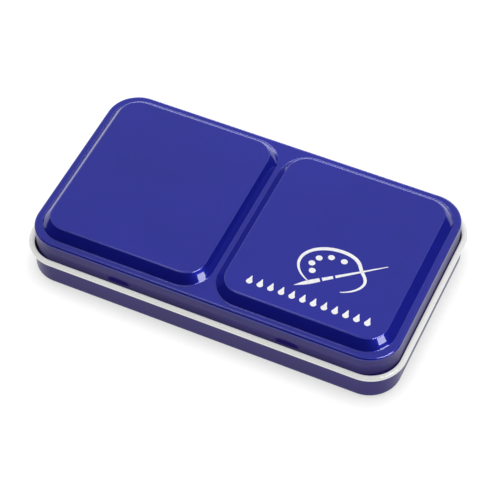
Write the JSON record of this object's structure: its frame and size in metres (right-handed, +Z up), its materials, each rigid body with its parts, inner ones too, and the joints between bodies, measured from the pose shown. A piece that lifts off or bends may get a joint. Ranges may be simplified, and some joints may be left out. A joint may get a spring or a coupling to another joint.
{
  "type": "watercolour pan set",
  "caption": "Closed hinged metal paint tin with raised lid panels that serve as mixing wells, a rolled rim, a lift-out rack and small pans of watercolour.",
  "frame": {"origin": "on the table, under the middle of the closed tin", "axes": "+X along the tin, -Y towards its opening front, +Y towards its hinge, +Z up"},
  "size_m": [0.125, 0.0716, 0.0212],
  "materials": {
    "blue_enamel": "gloss blue enamel outside, gloss white enamel inside and on the rolled rim",
    "steel_wire": "drawn wire",
    "tinplate": "bright tinplate",
    "pan_plastic": "semi-gloss moulded white plastic",
    "paint_lemon_yellow": "dried watercolour cake, satin",
    "paint_warm_yellow": "dried watercolour cake, satin",
    "paint_orange": "dried watercolour cake, satin",
    "paint_vermilion": "dried watercolour cake, satin",
    "paint_carmine": "dried watercolour cake, satin",
    "paint_violet": "dried watercolour cake, satin",
    "paint_ultramarine": "dried watercolour cake, satin",
    "paint_sky_blue": "dried watercolour cake, satin",
    "paint_emerald_green": "dried watercolour cake, satin",
    "paint_sap_green": "dried watercolour cake, satin",
    "paint_burnt_sienna": "dried watercolour cake, satin",
    "paint_lamp_black": "dried watercolour cake, satin"
  },
  "bodies": {
    "base": {"base_tray": "blue_enamel", "hinge_wire": "steel_wire", "pan_rack": "tinplate", "pan_01": "pan_plastic", "paint_01_lemon_yellow": "paint_lemon_yellow", "pan_02": "pan_plastic", "paint_02_warm_yellow": "paint_warm_yellow", "pan_03": "pan_plastic", "paint_03_orange": "paint_orange", "pan_04": "pan_plastic", "paint_04_vermilion": "paint_vermilion", "pan_05": "pan_plastic", "paint_05_carmine": "paint_carmine", "pan_06": "pan_plastic", "paint_06_violet": "paint_violet", "pan_07": "pan_plastic", "paint_07_ultramarine": "paint_ultramarine", "pan_08": "pan_plastic", "paint_08_sky_blue": "paint_sky_blue", "pan_09": "pan_plastic", "paint_09_emerald_green": "paint_emerald_green", "pan_10": "pan_plastic", "paint_10_sap_green": "paint_sap_green", "pan_11": "pan_plastic", "paint_11_burnt_sienna": "paint_burnt_sienna", "pan_12": "pan_plastic", "paint_12_lamp_black": "paint_lamp_black"},
    "lid": {"lid": "blue_enamel"}
  },
  "joints": [
    {"name": "lid_hinge", "type": "hinge", "parent": "base", "child": "lid", "pos_m": [0, 0.03488, 0.0106], "axis": [-1, 0, 0], "range_deg": [0, 180]}
  ]
}
